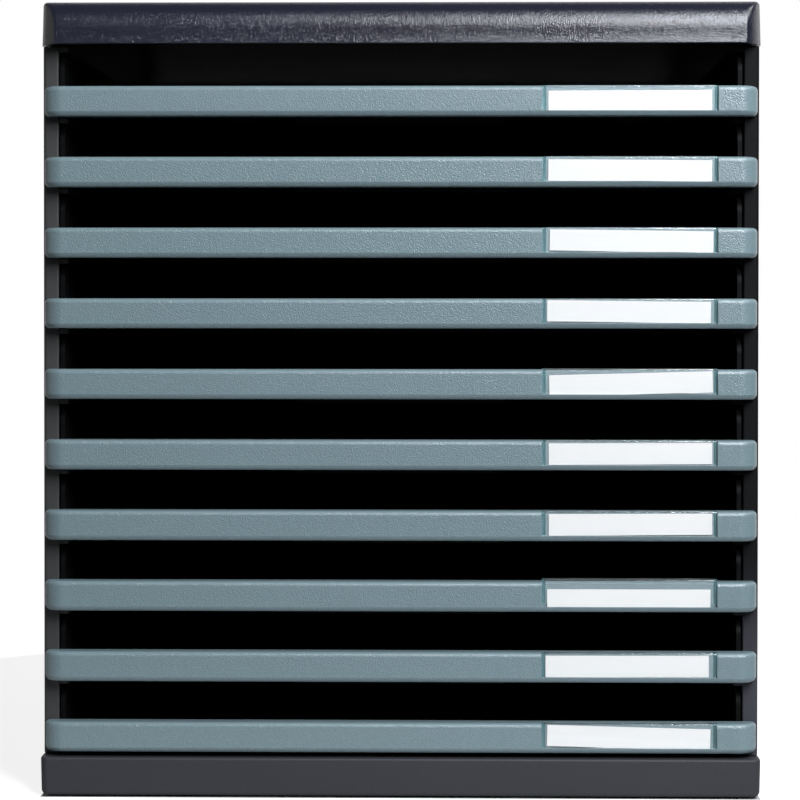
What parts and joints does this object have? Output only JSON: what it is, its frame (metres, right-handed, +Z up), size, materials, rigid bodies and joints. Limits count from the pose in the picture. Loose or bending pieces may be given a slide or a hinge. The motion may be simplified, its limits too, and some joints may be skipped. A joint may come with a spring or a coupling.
{
  "type": "desktop drawer unit",
  "caption": "Desktop letter tray unit: a dark housing holding shallow open-top sliding trays, each with a blue-grey front rail and a clear label window.",
  "frame": {"origin": "on the desk, under the middle of the unit's footprint", "axes": "+Z up, -Y towards the drawer fronts, +X to the right seen from the front"},
  "size_m": [0.288, 0.35, 0.3176],
  "materials": {
    "housing": "fine grain",
    "tray": "satin",
    "rail": "fine grain",
    "window": "clear gloss",
    "card": "matte",
    "rubber": "matte"
  },
  "bodies": {
    "housing": {"base_plinth": "housing", "top_cover": "housing", "side_panel_left": "housing", "side_panel_right": "housing", "back_panel": "housing", "foot_front_left": "rubber", "foot_front_right": "rubber", "foot_rear_left": "rubber", "foot_rear_right": "rubber"},
    "drawer_01": {"tray_01": "tray", "front_rail_01": "rail", "label_window_01": "window", "label_card_01": "card"},
    "drawer_02": {"tray_02": "tray", "front_rail_02": "rail", "label_window_02": "window", "label_card_02": "card"},
    "drawer_03": {"tray_03": "tray", "front_rail_03": "rail", "label_window_03": "window", "label_card_03": "card"},
    "drawer_04": {"tray_04": "tray", "front_rail_04": "rail", "label_window_04": "window", "label_card_04": "card"},
    "drawer_05": {"tray_05": "tray", "front_rail_05": "rail", "label_window_05": "window", "label_card_05": "card"},
    "drawer_06": {"tray_06": "tray", "front_rail_06": "rail", "label_window_06": "window", "label_card_06": "card"},
    "drawer_07": {"tray_07": "tray", "front_rail_07": "rail", "label_window_07": "window", "label_card_07": "card"},
    "drawer_08": {"tray_08": "tray", "front_rail_08": "rail", "label_window_08": "window", "label_card_08": "card"},
    "drawer_09": {"tray_09": "tray", "front_rail_09": "rail", "label_window_09": "window", "label_card_09": "card"},
    "drawer_10": {"tray_10": "tray", "front_rail_10": "rail", "label_window_10": "window", "label_card_10": "card"}
  },
  "joints": [
    {"name": "drawer_01_slide", "type": "slide", "parent": "housing", "child": "drawer_01", "axis": [0, -1, 0], "range_m": [0, 0.25]},
    {"name": "drawer_02_slide", "type": "slide", "parent": "housing", "child": "drawer_02", "axis": [0, -1, 0], "range_m": [0, 0.25]},
    {"name": "drawer_03_slide", "type": "slide", "parent": "housing", "child": "drawer_03", "axis": [0, -1, 0], "range_m": [0, 0.25]},
    {"name": "drawer_04_slide", "type": "slide", "parent": "housing", "child": "drawer_04", "axis": [0, -1, 0], "range_m": [0, 0.25]},
    {"name": "drawer_05_slide", "type": "slide", "parent": "housing", "child": "drawer_05", "axis": [0, -1, 0], "range_m": [0, 0.25]},
    {"name": "drawer_06_slide", "type": "slide", "parent": "housing", "child": "drawer_06", "axis": [0, -1, 0], "range_m": [0, 0.25]},
    {"name": "drawer_07_slide", "type": "slide", "parent": "housing", "child": "drawer_07", "axis": [0, -1, 0], "range_m": [0, 0.25]},
    {"name": "drawer_08_slide", "type": "slide", "parent": "housing", "child": "drawer_08", "axis": [0, -1, 0], "range_m": [0, 0.25]},
    {"name": "drawer_09_slide", "type": "slide", "parent": "housing", "child": "drawer_09", "axis": [0, -1, 0], "range_m": [0, 0.25]},
    {"name": "drawer_10_slide", "type": "slide", "parent": "housing", "child": "drawer_10", "axis": [0, -1, 0], "range_m": [0, 0.25]}
  ]
}
